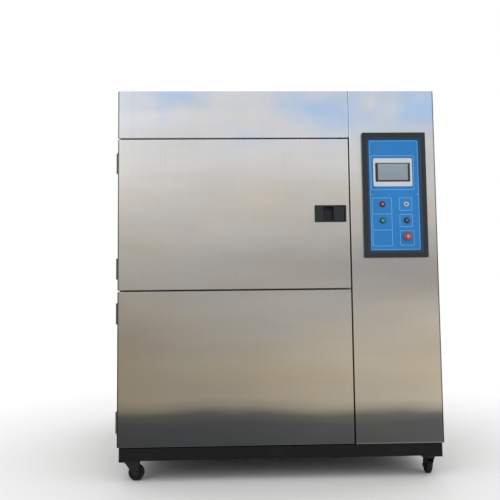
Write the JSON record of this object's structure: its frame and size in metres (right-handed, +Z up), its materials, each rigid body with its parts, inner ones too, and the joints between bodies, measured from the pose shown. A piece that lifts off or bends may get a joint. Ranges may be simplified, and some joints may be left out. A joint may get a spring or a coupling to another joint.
{
  "type": "environmental test chamber",
  "caption": "Free-standing three-zone environmental test chamber on casters: two side-hinged insulated doors with a flush latch, control column with panel.",
  "frame": {"origin": "on the floor, at the middle of the whole object's width and depth", "axes": "+Z up, X to the right seen from the front, the doors face -Y"},
  "size_m": [1.5645, 1.556, 1.86],
  "materials": {
    "outer_steel": "satin stainless sheet with a vertical grain",
    "inner_steel": "bright stainless",
    "door_core": "stainless inner pan filled with insulation",
    "insulation": "mineral wool blocks",
    "seal": "silicone",
    "black_paint": "satin black",
    "caster_steel": "black plated",
    "caster_tyre": "black nylon",
    "hinge_steel": "satin",
    "latch_black": "black grained",
    "machinery": "black enamel",
    "motor_paint": "blue grey enamel",
    "copper_pipe": "copper",
    "fin_metal": "finned sheet",
    "heater_steel": "heat-tinted",
    "fan_metal": "pressed",
    "fan_black": "moulded",
    "board": "grey devices on a plate",
    "panel_frame": "charcoal grained",
    "panel_plate": "printed film",
    "screen": "pale moulding with a dark glass",
    "collar_metal": "bright",
    "lamp_red": "ribbed lens",
    "button_green": "gloss",
    "button_black": "gloss",
    "stop_red": "gloss",
    "fitting_metal": "turned",
    "plug_silicone": "silicone"
  },
  "bodies": {
    "cabinet": {"base_frame": "black_paint", "left_side_panel": "outer_steel", "right_side_panel": "outer_steel", "rear_panel": "outer_steel", "top_panel": "outer_steel", "top_front_panel": "outer_steel", "column_front_panel": "outer_steel", "body_cover": "inner_steel", "door_frame": "outer_steel", "insulation": "insulation", "zone_liners": "inner_steel", "air_baffle": "inner_steel", "shelf_runners": "inner_steel", "specimen_shelf": "inner_steel", "heater": "heater_steel", "evaporator": "fin_metal", "drive_motors": "motor_paint", "compressors": "machinery", "refrigerant_pipes": "copper_pipe", "condenser_unit": "fin_metal", "electrical_board": "board", "control_frame": "panel_frame", "control_plate": "panel_plate", "touch_screen": "screen", "switch_collars": "collar_metal", "indicator_lamp": "lamp_red", "cabinet_hinges": "hinge_steel", "latch_keeper": "hinge_steel", "caster_plates": "caster_steel", "wall_fittings": "fitting_metal", "panel_screws": "fitting_metal"},
    "upper_door": {"upper_door_skin": "outer_steel", "upper_door_inner": "door_core", "upper_door_seal": "seal", "upper_door_hinges": "hinge_steel", "latch_housing": "latch_black"},
    "lower_door": {"lower_door_skin": "outer_steel", "lower_door_inner": "door_core", "lower_door_seal": "seal", "lower_door_hinges": "hinge_steel"},
    "latch_paddle": {"latch_paddle": "latch_black"},
    "latch_bolt": {"latch_bolt": "hinge_steel"},
    "hot_fan": {"hot_fan": "fan_metal"},
    "cold_fan": {"cold_fan": "fan_metal"},
    "condenser_fan": {"condenser_fan": "fan_black"},
    "hot_damper": {"hot_damper": "fan_metal"},
    "cold_damper": {"cold_damper": "fan_metal"},
    "green_button": {"green_button": "button_green"},
    "black_button": {"black_button": "button_black"},
    "key_rotor": {"key_rotor": "collar_metal"},
    "emergency_stop": {"emergency_stop": "stop_red"},
    "port_plug": {"port_plug": "plug_silicone"},
    "caster_front_left": {"caster_fork_front_left": "caster_steel"},
    "wheel_front_left": {"caster_wheel_front_left": "caster_tyre"},
    "caster_front_right": {"caster_fork_front_right": "caster_steel"},
    "wheel_front_right": {"caster_wheel_front_right": "caster_tyre"},
    "caster_rear_left": {"caster_fork_rear_left": "caster_steel"},
    "wheel_rear_left": {"caster_wheel_rear_left": "caster_tyre"},
    "caster_rear_right": {"caster_fork_rear_right": "caster_steel"},
    "wheel_rear_right": {"caster_wheel_rear_right": "caster_tyre"}
  },
  "joints": [
    {"name": "upper_door_hinge", "type": "hinge", "parent": "cabinet", "child": "upper_door", "pos_m": [-0.7795, -0.685, 1.2575], "axis": [0, 0, -1], "range_deg": [0, 120]},
    {"name": "lower_door_hinge", "type": "hinge", "parent": "cabinet", "child": "lower_door", "pos_m": [-0.7795, -0.685, 0.5255], "axis": [0, 0, -1], "range_deg": [0, 120]},
    {"name": "latch_paddle_pivot", "type": "hinge", "parent": "upper_door", "child": "latch_paddle", "pos_m": [0.314, -0.7475, 1.254], "axis": [0, 0, 1], "range_deg": [0, 35]},
    {"name": "latch_bolt_slide", "type": "slide", "parent": "upper_door", "child": "latch_bolt", "axis": [-1, 0, 0], "range_m": [0, 0.012], "stiffness_N_per_m": 100},
    {"name": "green_button_press", "type": "slide", "parent": "cabinet", "child": "green_button", "axis": [0, 1, 0], "range_m": [0, 0.004], "stiffness_N_per_m": 400},
    {"name": "black_button_press", "type": "slide", "parent": "cabinet", "child": "black_button", "axis": [0, 1, 0], "range_m": [0, 0.004], "stiffness_N_per_m": 400},
    {"name": "key_switch_turn", "type": "hinge", "parent": "cabinet", "child": "key_rotor", "pos_m": [0.621, -0.75, 1.297], "axis": [0, -1, 0], "range_deg": [-90, 0]},
    {"name": "emergency_stop_press", "type": "slide", "parent": "cabinet", "child": "emergency_stop", "axis": [0, 1, 0], "range_m": [0, 0.005]},
    {"name": "port_plug_pull", "type": "slide", "parent": "cabinet", "child": "port_plug", "axis": [-1, 0, 0], "range_m": [0, 0.12]},
    {"name": "hot_fan_spin", "type": "hinge", "parent": "cabinet", "child": "hot_fan", "pos_m": [-0.2115, -0.05, 1.708], "axis": [0, 1, 0], "continuous": true},
    {"name": "cold_fan_spin", "type": "hinge", "parent": "cabinet", "child": "cold_fan", "pos_m": [-0.2115, -0.05, 0.5255], "axis": [0, 1, 0], "continuous": true},
    {"name": "condenser_fan_spin", "type": "hinge", "parent": "cabinet", "child": "condenser_fan", "pos_m": [0.428, 0.61, 0.42], "axis": [0, 1, 0], "continuous": true},
    {"name": "hot_damper_turn", "type": "hinge", "parent": "cabinet", "child": "hot_damper", "pos_m": [-0.2115, -0.025, 1.4992], "axis": [1, 0, 0], "range_deg": [0, 85]},
    {"name": "cold_damper_turn", "type": "hinge", "parent": "cabinet", "child": "cold_damper", "pos_m": [-0.2115, -0.025, 1.0158], "axis": [-1, 0, 0], "range_deg": [0, 85]},
    {"name": "swivel_front_left", "type": "hinge", "parent": "cabinet", "child": "caster_front_left", "pos_m": [-0.712, -0.692, 0.09], "axis": [0, 0, 1], "continuous": true},
    {"name": "roll_front_left", "type": "hinge", "parent": "caster_front_left", "child": "wheel_front_left", "pos_m": [-0.686, -0.692, 0.0375], "axis": [0, 1, 0], "continuous": true},
    {"name": "swivel_front_right", "type": "hinge", "parent": "cabinet", "child": "caster_front_right", "pos_m": [0.712, -0.692, 0.09], "axis": [0, 0, 1], "continuous": true},
    {"name": "roll_front_right", "type": "hinge", "parent": "caster_front_right", "child": "wheel_front_right", "pos_m": [0.712, -0.666, 0.0375], "axis": [1, 0, 0], "continuous": true},
    {"name": "swivel_rear_left", "type": "hinge", "parent": "cabinet", "child": "caster_rear_left", "pos_m": [-0.712, 0.692, 0.09], "axis": [0, 0, 1], "continuous": true},
    {"name": "roll_rear_left", "type": "hinge", "parent": "caster_rear_left", "child": "wheel_rear_left", "pos_m": [-0.712, 0.718, 0.0375], "axis": [1, 0, 0], "continuous": true},
    {"name": "swivel_rear_right", "type": "hinge", "parent": "cabinet", "child": "caster_rear_right", "pos_m": [0.712, 0.692, 0.09], "axis": [0, 0, 1], "continuous": true},
    {"name": "roll_rear_right", "type": "hinge", "parent": "caster_rear_right", "child": "wheel_rear_right", "pos_m": [0.712, 0.718, 0.0375], "axis": [1, 0, 0], "continuous": true}
  ],
  "couplings": [
    {"joint": "latch_paddle_pivot", "follows": "latch_bolt_slide", "rad_per_m": 50.9}
  ]
}
